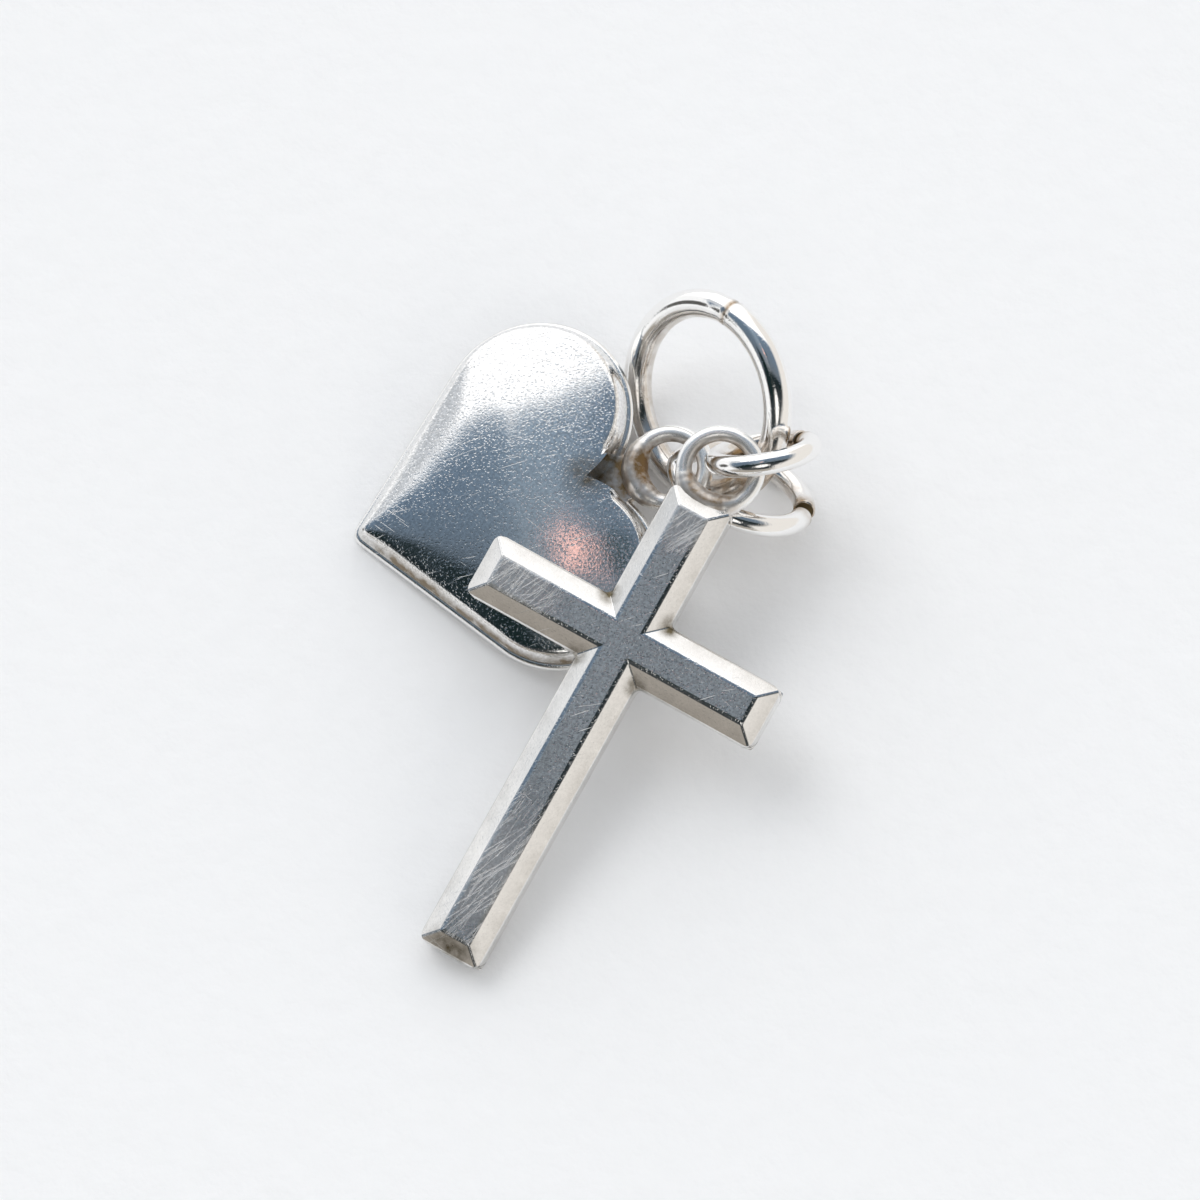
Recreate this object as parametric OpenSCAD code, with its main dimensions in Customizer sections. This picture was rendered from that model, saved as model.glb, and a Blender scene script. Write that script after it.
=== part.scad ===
// Heart and cross pendant: two charms on jump rings, both hung from one bail ring.
// It lies as it would on a table: z = 0 is the table, +Z is up, units are mm.

/* [Bail ring] */
// outside diameter of the ring that the chain runs through
bail_d = 8.45; // [8.2:0.05:8.8]
// wire of the bail ring
bail_wire = 1.1; // [1:0.02:1.16]

/* [Jump rings] */
// outside diameter of the ring that holds the cross
cross_ring_d = 4.5; // [4.4:0.05:4.7]
// wire of the ring that holds the cross
cross_ring_wire = 0.85; // [0.75:0.01:0.88]
// opening left between its cut ends, in degrees
cross_ring_gap = 9; // [4:1:14]
// outside diameter of the ring that holds the heart
heart_ring_d = 6; // [5.9:0.05:6.2]
// wire of the ring that holds the heart
heart_ring_wire = 0.85; // [0.75:0.01:0.88]
// opening left between its cut ends, in degrees
heart_ring_gap = 12; // [6:1:16]

/* [Charm loops] */
// outside diameter of the loop on the cross
cross_loop_d = 3.4; // [3.3:0.05:3.6]
// wire of the loop on the cross
cross_loop_wire = 0.62; // [0.5:0.01:0.64]
// outside diameter of the loop on the heart
heart_loop_d = 3.4; // [3.3:0.05:3.6]
// wire of the loop on the heart
heart_loop_wire = 0.65; // [0.5:0.01:0.67]

/* [Cross] */
// foot to head without the loop
cross_h = 19.7; // [18:0.1:20]
// arm end to arm end
cross_span = 12.4; // [11:0.1:13]
// head end down to the middle of the arms
arm_drop = 6.2; // [5.6:0.1:6.6]
// width of every limb
limb_w = 2.6; // [2.3:0.05:2.7]
// thickness from the flat back to the flat face
cross_t = 1.6; // [1.4:0.05:1.65]
// slope width of the bevel, seen from the front
bevel_w = 0.67; // [0.4:0.02:0.75]
// depth of the bevel below the face
bevel_d = 0.47; // [0.35:0.02:0.7]
// narrow flat land outside the bevel
land_w = 0.05; // [0.04:0.01:0.16]

/* [Heart] */
// radius of each lobe of the front shell
lobe_r = 3.62; // [3.45:0.01:3.7]
// sideways place of each lobe's centre
lobe_x = 3.2; // [3:0.05:3.3]
// distance along the axis from the point of the heart to the lobe centres
lobe_y = 7.7; // [7:0.1:7.7]
// height of the dome above the back plate
dome_h = 1.5; // [1.3:0.05:1.55]
// metal thickness of the domed shell
shell_t = 0.3; // [0.2:0.02:0.4]
// thickness of the back plate
plate_t = 0.3; // [0.2:0.02:0.32]
// rim of the back plate that shows round the shell
flange = 0.18; // [0.08:0.02:0.24]
// distance from the cleft of the heart to the middle of its loop
loop_reach = 3.1; // [2.9:0.05:3.3]

// radius of the rounded point of the heart
tip_r = 0.4; // [0.2:0.05:0.8]
// share of the dome's height that is lost from its axis to its sides
side_fall = 0.55; // [0.3:0.05:0.65]
// share of the dome's height that is lost at the point
tip_fall = 0.65; // [0.3:0.05:0.7]
// share of the dome's height that is lost at the far ends of the lobes
lobe_fall = 0.3; // [0.1:0.05:0.5]
// width of the rolled edge of the shell
edge_w = 0.38; // [0.25:0.01:0.6]
// width of the tab where it leaves the cleft
tab_low_w = 2.6; // [2.2:0.1:3]
// width of the tab at the loop
tab_top_w = 1.8; // [1.2:0.1:2.2]
// how far the tab runs back from the cleft into the plate
tab_root = 0.6; // [0.3:0.05:1]

/* [Hidden] */
$fn = 64;

// lie of each body on the table: heading about Z, then pitch of its length, then roll
bail_lie = [28.32, 0, -52.36];
cross_ring_lie = [-68.45, -16.43, -57.28];
heart_ring_lie = [-108.28, -9.58, -44.04];
cross_lie = [-30.18, 13.5, 0.89];
heart_lie = [-80.81, 10.46, 1.66];
// middle of the bail ring on the table
bail_xy = [4.633, 9.0164];
// where on the bail ring each jump ring hangs, in degrees from its right limb
cross_ring_at = -65.28;
heart_ring_at = -108.99;
// how each linked wire lies inside the ring or loop round it
cross_ring_play = [-0.328, -0.374, 0.55];
heart_ring_play = [0.311, 0.2, -0.27];
cross_loop_play = [-0.007, -0.179, -0.039];
heart_loop_play = [-0.312, -0.119, -0.062];
// where the cut ends of each jump ring face, in degrees round it
cross_cut_at = 94;
heart_cut_at = 84;

// radii of the wire centrelines
bail_r = (bail_d - bail_wire) / 2;
cross_ring_r = (cross_ring_d - cross_ring_wire) / 2;
heart_ring_r = (heart_ring_d - heart_ring_wire) / 2;
cross_loop_r = (cross_loop_d - cross_loop_wire) / 2;
heart_loop_r = (heart_loop_d - heart_loop_wire) / 2;

// turning of a point by a lie
function about_x(a, v) = [v[0], v[1] * cos(a) - v[2] * sin(a), v[1] * sin(a) + v[2] * cos(a)];
function about_y(a, v) = [v[0] * cos(a) + v[2] * sin(a), v[1], v[2] * cos(a) - v[0] * sin(a)];
function about_z(a, v) = [v[0] * cos(a) - v[1] * sin(a), v[0] * sin(a) + v[1] * cos(a), v[2]];
function laid(lie, v) = about_z(lie[0], about_x(lie[1], about_y(lie[2], v)));
function on_ring(r, turn) = [r * cos(turn), r * sin(turn), 0];

// the bail ring leans with its lowest wire just on the table
bail_lean = norm([laid(bail_lie, [1, 0, 0])[2], laid(bail_lie, [0, 1, 0])[2]]);
bail_z = bail_wire / 2 + bail_r * bail_lean;
bail_at = [bail_xy[0], bail_xy[1], bail_z];

// each jump ring hangs on the bail ring, and each charm loop on the far end of its jump ring
cross_ring_pos = bail_at + laid(bail_lie, on_ring(bail_r, cross_ring_at)) + cross_ring_play;
heart_ring_pos = bail_at + laid(bail_lie, on_ring(bail_r, heart_ring_at)) + heart_ring_play;
cross_pos = cross_ring_pos + laid(cross_ring_lie, [0, -cross_ring_r, 0]) + cross_loop_play;
heart_pos = heart_ring_pos + laid(heart_ring_lie, [0, -heart_ring_r, 0]) + heart_loop_play;

// cross, measured from the middle of its loop
head_y = -cross_loop_r + 0.25 * cross_loop_wire;
arm_y = head_y - arm_drop;
foot_y = head_y - cross_h;
face_z = cross_t / 2;
back_z = -cross_t / 2;
bevel_z = face_z - bevel_d;

// heart outline, measured from its point along its axis
flank = atan2(lobe_x, lobe_y) + asin(lobe_r / norm([lobe_x, lobe_y]));
cleft_y = lobe_y + sqrt(lobe_r * lobe_r - lobe_x * lobe_x);
tip_to_loop = cleft_y + loop_reach;
plate_low = -heart_loop_wire / 2;
plate_top = plate_low + plate_t;

// dome of the heart: rings of points round a middle, each ring a share of the outline
ray_count = 72;
ring_count = 12;
dome_mid = 0.86 * lobe_y;
dome_round = 0.65 * lobe_y;
wall_share = 1 - 1.25 * shell_t / dome_round;
touch_along = sqrt(lobe_x * lobe_x + lobe_y * lobe_y - lobe_r * lobe_r);
touch_y = touch_along * cos(flank);
touch_turn = atan2(touch_y - dome_mid, touch_along * sin(flank));
tip_y = tip_r / sin(flank);
tip_along = tip_r / tan(flank);
tip_turn = atan2(tip_along * cos(flank) - dome_mid, tip_along * sin(flank));
lobe_c = lobe_x * lobe_x + pow(dome_mid - lobe_y, 2) - lobe_r * lobe_r;
function lobe_b(c, s) = s * (dome_mid - lobe_y) - c * lobe_x;
function on_lobe(c, s) = sqrt(pow(lobe_b(c, s), 2) - lobe_c) - lobe_b(c, s);
function on_flank(c, s) = dome_mid * sin(flank) / (c * cos(flank) - s * sin(flank));
function on_tip(c, s) = sqrt(tip_r * tip_r - pow(c * (dome_mid - tip_y), 2)) - s * (dome_mid - tip_y);
function reach(turn) =
    turn < tip_turn ? on_tip(cos(turn), sin(turn)) :
    turn < touch_turn ? on_flank(cos(turn), sin(turn)) :
    on_lobe(cos(turn), sin(turn));
function folded(turn) = turn > 90 ? 180 - turn : turn;
function ring_share(i) = 1 - pow(1 - i / ring_count, 2.2);
function blended(s, turn) = s * (dome_round + pow(s, 1.6) * (reach(folded(turn)) - dome_round));
function ray_turn(j) = -90 + 360 * j / ray_count - 16 * sin(720 * j / ray_count);

// puffed form over a point of the outline: it falls to the sides, the point and the lobes, and rolls over at its edge
function along_flank(x, y) = abs(x) * sin(flank) + y * cos(flank);
function from_edge(x, y) =
    along_flank(x, y) < tip_along ? tip_r - norm([x, y - tip_y]) :
    along_flank(x, y) < touch_along ? y * sin(flank) - abs(x) * cos(flank) :
    lobe_r - norm([abs(x) - lobe_x, y - lobe_y]);
function half_width(y) =
    y < touch_y ? y * tan(flank) :
    lobe_x + sqrt(lobe_r * lobe_r - pow(max(lobe_y - y, 0), 2));
function along_fall(y) =
    tip_fall * pow(max(dome_mid - y, 0) / dome_mid, 1.4)
    + lobe_fall * pow(max(y - dome_mid, 0) / (lobe_y + lobe_r - dome_mid), 2);
function rolled(d) = sqrt(max(1 - pow(max(1 - d / edge_w, 0), 2), 0));
function puff(x, y) =
    (1 - along_fall(y)) * (1 - side_fall * pow(x / half_width(y), 2)) * rolled(from_edge(x, y));
function shell_ring(i, share, high) = [
    for (j = [0 : ray_count - 1])
        let (s = ring_share(i), t = ray_turn(j), q = blended(s, t), x = q * cos(t), y = dome_mid + q * sin(t))
        [
            share * x,
            dome_mid + share * (y - dome_mid),
            i == ring_count ? 0 : high * puff(x, y)
        ]
];
function shell_points(share, high) = [
    for (i = [1 : ring_count]) each shell_ring(i, share, high),
    [0, dome_mid, high]
];
skin = ring_count * ray_count + 1;
last = ring_count - 1;
function at(base, i, j) = base + i * ray_count + j % ray_count;
outer_bands = [
    for (i = [0 : ring_count - 2]) for (j = [0 : ray_count - 1]) each [
        [at(0, i, j), at(0, i + 1, j + 1), at(0, i + 1, j)],
        [at(0, i, j), at(0, i, j + 1), at(0, i + 1, j + 1)]
    ]
];
inner_bands = [for (f = outer_bands) [f[0] + skin, f[2] + skin, f[1] + skin]];
outer_crown = [for (j = [0 : ray_count - 1]) [skin - 1, at(0, 0, j + 1), at(0, 0, j)]];
inner_crown = [for (f = outer_crown) [f[0] + skin, f[2] + skin, f[1] + skin]];
seat_band = [
    for (j = [0 : ray_count - 1]) each [
        [at(0, last, j), at(0, last, j + 1), at(skin, last, j + 1)],
        [at(0, last, j), at(skin, last, j + 1), at(skin, last, j)]
    ]
];

module lie_down(pos, lie) {
    translate(pos)
        rotate([0, 0, lie[0]])
            rotate([lie[1], 0, 0])
                rotate([0, lie[2], 0])
                    children();
}

module wire_ring(r, wire) {
    rotate_extrude()
        translate([r, 0])
            circle(d = wire);
}

// ring of wire left open by a saw cut
module cut_ring(r, wire, gap, cut_at) {
    rotate([0, 0, cut_at + gap / 2])
        rotate_extrude(angle = 360 - gap)
            translate([r, 0])
                circle(d = wire);
}

module bail_ring() {
    color("silver")
        lie_down(bail_at, bail_lie)
            wire_ring(bail_r, bail_wire);
}

module cross_jump_ring() {
    color("silver")
        lie_down(cross_ring_pos, cross_ring_lie)
            cut_ring(cross_ring_r, cross_ring_wire, cross_ring_gap, cross_cut_at);
}

module heart_jump_ring() {
    color("silver")
        lie_down(heart_ring_pos, heart_ring_lie)
            cut_ring(heart_ring_r, heart_ring_wire, heart_ring_gap, heart_cut_at);
}

// bar along Y with a slope on both sides and at both ends
module roof_bar(width, low, high) {
    half = width / 2 - land_w;
    top = half - bevel_w;
    intersection() {
        translate([0, high, 0])
            rotate([90, 0, 0])
                linear_extrude(high - low)
                    polygon([[-half, bevel_z], [half, bevel_z], [top, face_z], [-top, face_z]]);
        translate([-width, 0, 0])
            rotate([90, 0, 90])
                linear_extrude(2 * width)
                    polygon([
                        [low + land_w, bevel_z],
                        [high - land_w, bevel_z],
                        [high - land_w - bevel_w, face_z],
                        [low + land_w + bevel_w, face_z]
                    ]);
    }
}

module cross_block() {
    translate([-limb_w / 2, foot_y, back_z])
        cube([limb_w, cross_h, bevel_z - back_z]);
    translate([-cross_span / 2, arm_y - limb_w / 2, back_z])
        cube([cross_span, limb_w, bevel_z - back_z]);
    roof_bar(limb_w, foot_y, head_y);
    translate([0, arm_y, 0])
        rotate([0, 0, 90])
            roof_bar(limb_w, -cross_span / 2, cross_span / 2);
}

module cross_body() {
    color("silver")
        lie_down(cross_pos, cross_lie)
            difference() {
                cross_block();
                wire_ring(cross_loop_r, cross_loop_wire);
            }
}

module cross_loop() {
    color("silver")
        lie_down(cross_pos, cross_lie)
            wire_ring(cross_loop_r, cross_loop_wire);
}

// heart outline with its point at the origin, grown outwards by a rim
module heart_2d(grow) {
    touch = [
        touch_along * sin(flank) + grow * cos(flank),
        touch_y - grow * sin(flank)
    ];
    point = [
        (tip_r + grow) * cos(flank),
        tip_y - (tip_r + grow) * sin(flank)
    ];
    for (side = [-1, 1])
        translate([side * lobe_x, lobe_y])
            circle(lobe_r + grow);
    translate([0, tip_y])
        circle(tip_r + grow);
    polygon([
        point,
        touch,
        [lobe_x, lobe_y],
        [-lobe_x, lobe_y],
        [-touch[0], touch[1]],
        [-point[0], point[1]]
    ]);
}

// tab in the cleft that the loop is soldered to
module heart_tab_2d() {
    low = cleft_y - tab_root;
    high = tip_to_loop - heart_loop_r;
    polygon([
        [-tab_low_w / 2, low],
        [tab_low_w / 2, low],
        [tab_top_w / 2, high],
        [-tab_top_w / 2, high]
    ]);
}

module heart_front() {
    color("silver")
        lie_down(heart_pos, heart_lie)
            translate([0, -tip_to_loop, plate_top])
                polyhedron(
                    points = concat(shell_points(1, dome_h), shell_points(wall_share, dome_h - shell_t)),
                    faces = concat(outer_bands, outer_crown, inner_bands, inner_crown, seat_band),
                    convexity = 6);
}

module heart_back() {
    color("silver")
        lie_down(heart_pos, heart_lie)
            difference() {
                translate([0, -tip_to_loop, plate_low])
                    linear_extrude(plate_t) {
                        heart_2d(flange);
                        heart_tab_2d();
                    }
                wire_ring(heart_loop_r, heart_loop_wire);
            }
}

module heart_loop() {
    color("silver")
        lie_down(heart_pos, heart_lie)
            wire_ring(heart_loop_r, heart_loop_wire);
}

bail_ring();
cross_jump_ring();
heart_jump_ring();
cross_body();
cross_loop();
heart_front();
heart_back();
heart_loop();
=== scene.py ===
"""Heart and cross pendant in worn silver, lying on white paper. Modelled in mm, then set down in metres."""

import math

import bpy
from mathutils import Matrix, Vector


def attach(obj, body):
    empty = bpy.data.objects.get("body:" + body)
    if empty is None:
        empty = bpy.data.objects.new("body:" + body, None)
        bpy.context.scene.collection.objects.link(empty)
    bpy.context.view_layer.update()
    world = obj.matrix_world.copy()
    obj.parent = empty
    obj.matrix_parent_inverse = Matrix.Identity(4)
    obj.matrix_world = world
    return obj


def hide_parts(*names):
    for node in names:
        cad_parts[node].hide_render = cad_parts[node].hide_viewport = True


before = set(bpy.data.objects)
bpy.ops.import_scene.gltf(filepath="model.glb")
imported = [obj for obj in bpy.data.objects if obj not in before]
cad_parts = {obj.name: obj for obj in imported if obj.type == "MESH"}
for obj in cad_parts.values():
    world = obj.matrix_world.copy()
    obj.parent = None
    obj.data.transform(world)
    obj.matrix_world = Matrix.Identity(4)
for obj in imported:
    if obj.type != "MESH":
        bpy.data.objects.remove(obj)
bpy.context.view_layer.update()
MM = 0.001

# Sizes of the pieces in mm, the same as in the part's source
BAIL_D, BAIL_WIRE = 8.45, 1.1
CROSS_RING_D, CROSS_RING_WIRE = 4.5, 0.85
HEART_RING_D, HEART_RING_WIRE = 6.0, 0.85
CROSS_LOOP_D, CROSS_LOOP_WIRE = 3.4, 0.62
HEART_LOOP_D, HEART_LOOP_WIRE = 3.4, 0.65
CROSS_H, CROSS_SPAN, ARM_DROP = 19.7, 12.4, 6.2
LIMB_W, CROSS_T = 2.6, 1.6
BEVEL_W, BEVEL_D, LAND_W = 0.67, 0.47, 0.05
LOBE_R, LOBE_X, LOBE_Y = 3.62, 3.2, 7.7
DOME_H, PLATE_T, FLANGE, LOOP_REACH = 1.5, 0.3, 0.18, 3.1
TIP_R, EDGE_W = 0.4, 0.38
TAB_LOW_W, TAB_TOP_W, TAB_ROOT = 2.6, 1.8, 0.6

# Shares: how deep the cross loop sinks into the head, and the form of the heart's dome
LOOP_SINK = 0.25
DOME_MID_SHARE, DOME_ROUND_SHARE = 0.86, 0.65
SIDE_FALL, TIP_FALL, LOBE_FALL = 0.55, 0.65, 0.3
TIP_FALL_POWER, DOME_SPREAD_POWER = 1.4, 1.6
DOME_RIM_SHARE = 0.99999

# Degrees round each ring: the width of the cuts, and where the cuts, seam, roots and links are
CROSS_RING_GAP, HEART_RING_GAP = 9.0, 12.0
CROSS_CUT_AT, HEART_CUT_AT = 94.0, 84.0
BAIL_SEAM_AT = 29.0
BAIL_LINKS_AT = -90.0
LOOP_ROOT_AT = -90.0
CROSS_HANG_AT, HEART_HANG_AT = -65.28, -108.99

# How each body lies: heading, pitch and roll in degrees, and the play in its link in mm
BAIL_LIE = (28.32, 0.0, -52.36)
CROSS_RING_LIE = (-68.45, -16.43, -57.28)
HEART_RING_LIE = (-108.28, -9.58, -44.04)
CROSS_LIE = (-30.18, 13.5, 0.89)
HEART_LIE = (-80.81, 10.46, 1.66)
BAIL_XY = (4.633, 9.0164)
CROSS_RING_PLAY = (-0.328, -0.374, 0.55)
HEART_RING_PLAY = (0.311, 0.2, -0.27)
CROSS_LOOP_PLAY = (-0.007, -0.179, -0.039)
HEART_LOOP_PLAY = (-0.312, -0.119, -0.062)

BAIL_R = (BAIL_D - BAIL_WIRE) / 2
CROSS_RING_R = (CROSS_RING_D - CROSS_RING_WIRE) / 2
HEART_RING_R = (HEART_RING_D - HEART_RING_WIRE) / 2
CROSS_LOOP_R = (CROSS_LOOP_D - CROSS_LOOP_WIRE) / 2
HEART_LOOP_R = (HEART_LOOP_D - HEART_LOOP_WIRE) / 2

# The cross, from the middle of its loop
HEAD_Y = -CROSS_LOOP_R + LOOP_SINK * CROSS_LOOP_WIRE
ARM_Y = HEAD_Y - ARM_DROP
FOOT_Y = HEAD_Y - CROSS_H
FACE_Z, BACK_Z = CROSS_T / 2, -CROSS_T / 2
BEVEL_Z = FACE_Z - BEVEL_D

# The heart, from its point
FLANK = math.atan2(LOBE_X, LOBE_Y) + math.asin(LOBE_R / math.hypot(LOBE_X, LOBE_Y))
CLEFT_Y = LOBE_Y + math.sqrt(LOBE_R ** 2 - LOBE_X ** 2)
TIP_TO_LOOP = CLEFT_Y + LOOP_REACH
PLATE_LOW = -HEART_LOOP_WIRE / 2
PLATE_TOP = PLATE_LOW + PLATE_T
DOME_MID = DOME_MID_SHARE * LOBE_Y
DOME_ROUND = DOME_ROUND_SHARE * LOBE_Y
TOUCH_ALONG = math.sqrt(LOBE_X ** 2 + LOBE_Y ** 2 - LOBE_R ** 2)
TOUCH_Y = TOUCH_ALONG * math.cos(FLANK)
TIP_Y = TIP_R / math.sin(FLANK)
TIP_ALONG = TIP_R / math.tan(FLANK)

# How finely the pieces are divided
BAIL_AROUND, BAIL_SIDES = 192, 40
LOOP_AROUND, LOOP_SIDES = 128, 32
RING_SIDES, STEPS_IN_GAP = 36, 4
DOME_AROUND, DOME_RINGS = 192, 96
PLATE_AROUND, PAPER_AROUND = 480, 96

# Solder and file marks on the wires: degrees round the ring, and mm. The seam is a share of one step wide.
FILED_PAST_SEAM, FILED_SPREAD, FILED_DEPTH = 7, 6, 0.02
SEAM_SHARE, SEAM_GROOVE = 0.4, 0.05
SOLDER_SPREAD, SOLDER_SWELL = 60, 0.2

# Sawn ends of the jump rings: the rounding of their rims in mm, and the most corners that another face has
CUT_ROUND, CUT_ROUND_STEPS = 0.07, 3
OTHER_FACE_CORNERS = 8

# Worn rounding of the cross's edges in mm, and the slack when heights are compared
FACE_WEAR, BEVEL_FOOT_WEAR, BACK_WEAR = 0.1, 0.1, 0.08
INNER_MITRE_WEAR, OUTER_MITRE_WEAR = 0.04, 0.08
INNER_CORNER_WEAR, OUTER_CORNER_WEAR = 0.25, 0.5
WEAR_STEPS = 5
HAIR = 0.01

# Worn rim of the plate from below: how far each step is drawn in, in mm, and its share of the thickness
PLATE_RIM = ((0.1, 0.0), (0.03, 0.1), (0.0, 0.3), (0.01, 0.6), (0.05, 0.82), (0.1, 0.95), (0.16, 1.0))

# Cosine above which a face looks one way, and sine above which a direction can meet the tab
LOOKS_THAT_WAY = 0.9
TAB_SIDE = 0.5

# How brown the tarnish is: 0 is clean and 1 is brown. The dome's seat value is painted shade, not tarnish
SEAM_BROWN, LINK_BROWN, BAIL_INSIDE_BROWN = 0.9, 0.7, 0.4
CUT_BROWN, RING_INSIDE_BROWN, CUT_INSIDE_BROWN = 0.7, 0.45, 0.5
RING_BROWNEST = 1.2
ROOT_BROWN, LOOP_INSIDE_BROWN = 0.7, 0.9
CROSS_LOW_BROWN = 0.2
# The seat value paints shade on the dome's low rim on one side, standing in for a dark reflection and
# contact shadow
DOME_CLEFT_BROWN, DOME_SEAT_SHADE = 0.9, 1.2
PLATE_CLEFT_BROWN = 0.9

# Over what stretch the tarnish fades out: steps of the bail ring, degrees round a wire, or mm. The seat
# fades shape the painted shade low on the dome
SEAM_FADE = (0.3, 1.4)
LINK_FADE = (15, 45)
CUT_FADE = 16
ROOT_FADE = (30, 70)
DOME_CLEFT_FADE = (0.1, 1.2)
# Painted shade on the dome's seat fades with height, with distance from the edge, and across to the low
# side
SEAT_HEIGHT_FADE = (0.25, 0.8)
SEAT_EDGE_FADE = (0.2, 0.6)
SEAT_LOW_SIDE = (-0.5, 1.5)
PLATE_CLEFT_RISE, PLATE_CLEFT_FADE = 0.4, (0.6, 2.2)

# Places on the face of the cross that are scuffed, from the middle of its loop, each with its reach
SCUFFED = (
    ((-5.0, ARM_Y, FACE_Z), 3.0),
    ((0.0, FOOT_Y + 3.5, FACE_Z), 4.5),
    ((0.0, HEAD_Y - 1.2, FACE_Z), 1.6),
)
SCUFF_CORE = 0.5

# Places on the cross where brown tarnish gathers, its inner corners and the foot of its loop, and its own
# foot, where the dark brown is a painted dark reflection
INNER_CORNERS = [(x * LIMB_W / 2, ARM_Y + y * LIMB_W / 2, BEVEL_Z) for x in (-1, 1) for y in (-1, 1)]
BROWNED = (
    *((corner, 0.75) for corner in INNER_CORNERS),
    ((0.0, HEAD_Y + 0.1, BEVEL_Z), 0.8),
    # The cross's own foot: painted dark reflection, not tarnish
    ((0.0, FOOT_Y + 0.3, BEVEL_Z), 1.5),
)
BROWN_CORE = 0.05

# The brown place on the heart's tab, from the middle of its loop
TAB_BROWNED = (0, CLEFT_Y + 0.5 - TIP_TO_LOOP, PLATE_TOP)
TAB_BROWN_CORE, TAB_BROWN_REACH = 0.9, 2.0

# Scratches: turn in radians, width and length in mm, and how rare they are from 0 to 1
SPARSE_SCRATCHES = ((-0.28, 0.024, 1.2, 0.79), (-0.1, 0.022, 0.8, 0.8), (0.7, 0.02, 0.8, 0.81))
DENSE_SCRATCHES = ((-0.5, 0.026, 1.5, 0.64), (-0.7, 0.024, 1.1, 0.65), (-0.95, 0.02, 0.8, 0.68))
SCRATCH_SCALE, SCRATCH_EDGE, SCRATCH_DEPTHWAYS = 0.5, 0.05, 0.5

# Wear noises: scale per mm, detail, roughness, and the part of their range that shows
PATCH_NOISE, PATCH_RANGE, PATCH_LEAST = (0.35, 2.0), (0.42, 0.62), 0.1
RUB_NOISE = (13.0, 2.0, 0.6)
PIT_NOISE, PIT_RANGE, PIT_SHOWS = (11.0, 1.0), (0.56, 0.72), 0.12
WAVE_NOISE = (0.3, 1.0)
MOTTLE_NOISE = (1.6, 4.0, 0.6)
GRAIN_NOISE, GRAIN_RANGE = (9.0, 2.0, 0.6), (0.36, 0.64)

# Heights and depths of the wear in mm
RUB_HEIGHT, WAVE_HEIGHT = 0.003, 0.05
SCRATCH_DEPTH, PIT_DEPTH, SCUFF_DEPTH = 0.006, 0.0036, 0.009

# What wear does to the silver: patchiness of the tarnish, paleness of scratches, and added roughness
TARNISH_CONTRAST, TARNISH_SHIFT = 2.4, -0.45
SCRATCH_PALE = 0.6
MOTTLE_ROUGH, SCRATCH_ROUGH, SCUFF_ROUGH, BROWN_ROUGH = 0.06, 0.35, 0.3, 0.2
WHITE = (1, 1, 1, 1)

# Sawn wire ends
SAWN_METALLIC = 0.6
SAWN_NOISE = (6 / MM, 3.0, 0.6)
SAWN_DARK, SAWN_BROWN = (0.03, 0.02, 0.008, 1), (0.2, 0.14, 0.06, 1)
SAWN_ROUGH_LEAST, SAWN_ROUGH_VARIES = 0.4, 0.3

# Camera, in degrees, metres and mm of lens
PHOTO_MID = Vector((0.544, 2.0364, -0.0479)) * MM
CAMERA_RISE = 72.0
CAMERA_AWAY = 0.225
CAMERA_LENS = 175.5
CAMERA_NEAR = 0.01

# Paper, in metres
PAPER_R = 0.045
PAPER_ROUGH, PAPER_SHEEN = 0.9, 0.1
FIBRE_NOISE = (900.0, 4.0, 0.6)
PAPER_GREY, PAPER_WHITE = (0.87, 0.872, 0.876, 1), (0.9, 0.902, 0.907, 1)
FIBRE_STRENGTH, FIBRE_HEIGHT = 0.25, 0.0002

# Tones of the room by how far a direction looks to the window side
ROOM_TONES = (
    (-0.5, (0.07, 0.075, 0.075, 1)),
    (-0.22, (0.012, 0.024, 0.025, 1)),
    (-0.13, (0.24, 0.265, 0.29, 1)),
    (0.1, (0.24, 0.3, 0.36, 1)),
    (0.445, (0.25, 0.33, 0.42, 1)),
    (0.51, (1.35, 1.35, 1.36, 1)),
)
WINDOW_SIDE = (-0.09, 0.996, 0.0)
BACKDROP = (0.93, 0.935, 0.94, 1)

# Walls and shades: a colour, and the span of directions on each axis over which it comes in
RIGHT_WALL, RIGHT_X, RIGHT_Z = (0.86, 0.83, 0.79, 1), (0.2, 0.45), (0.5, 0.75)
LEFT_WALL, LEFT_X, LEFT_Z = (1.0, 1.01, 1.02, 1), (-0.8, -0.6), (0.25, 0.45)
FRONT_LOW, FRONT_Y, FRONT_Z = (0.4, 0.37, 0.33, 1), (-0.65, -0.4), (0.2, 0.4)
DIM_SIDES = (0.55, 0.6, 0.66, 1)
DIM_LEFT_X, DIM_LEFT_Y = (-0.65, -0.25), (0.3, 0.46)
DIM_RIGHT_X, DIM_RIGHT_Y, DIM_RIGHT_MOST = (-0.22, -0.06), (0.44, 0.53), 0.85

# Spots in the room, the later over the earlier: colour, direction, and the angles where each fades
DARK_SPOT = ((0.02, 0.045, 0.045, 1), (-0.065, 0.055, 0.99), 1.5, 3.5)
WARM_LAMP = ((1.3, 0.76, 0.67, 1), (-0.19, 0.045, 0.98), 2.0, 3.6)
SMALL_PANE = ((1.2, 1.2, 1.21, 1), (-0.35, 0.41, 0.84), 0.9, 1.9)
FRONT_LAMP = ((1.2, 1.18, 1.15, 1), (-0.09, -0.62, 0.78), 9.0, 17.0)
LEFT_DOOR = ((0.1, 0.1, 0.095, 1), (-0.99, 0.06, 0.06), 7.0, 14.0)
DARK_CORNER = ((0.01, 0.02, 0.021, 1), (-0.62, -0.3, 0.72), 8.0, 15.0)
DIM_PANE = ((0.58, 0.61, 0.65, 1), (-0.76, 0.5, 0.42), 4.0, 12.0)
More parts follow.
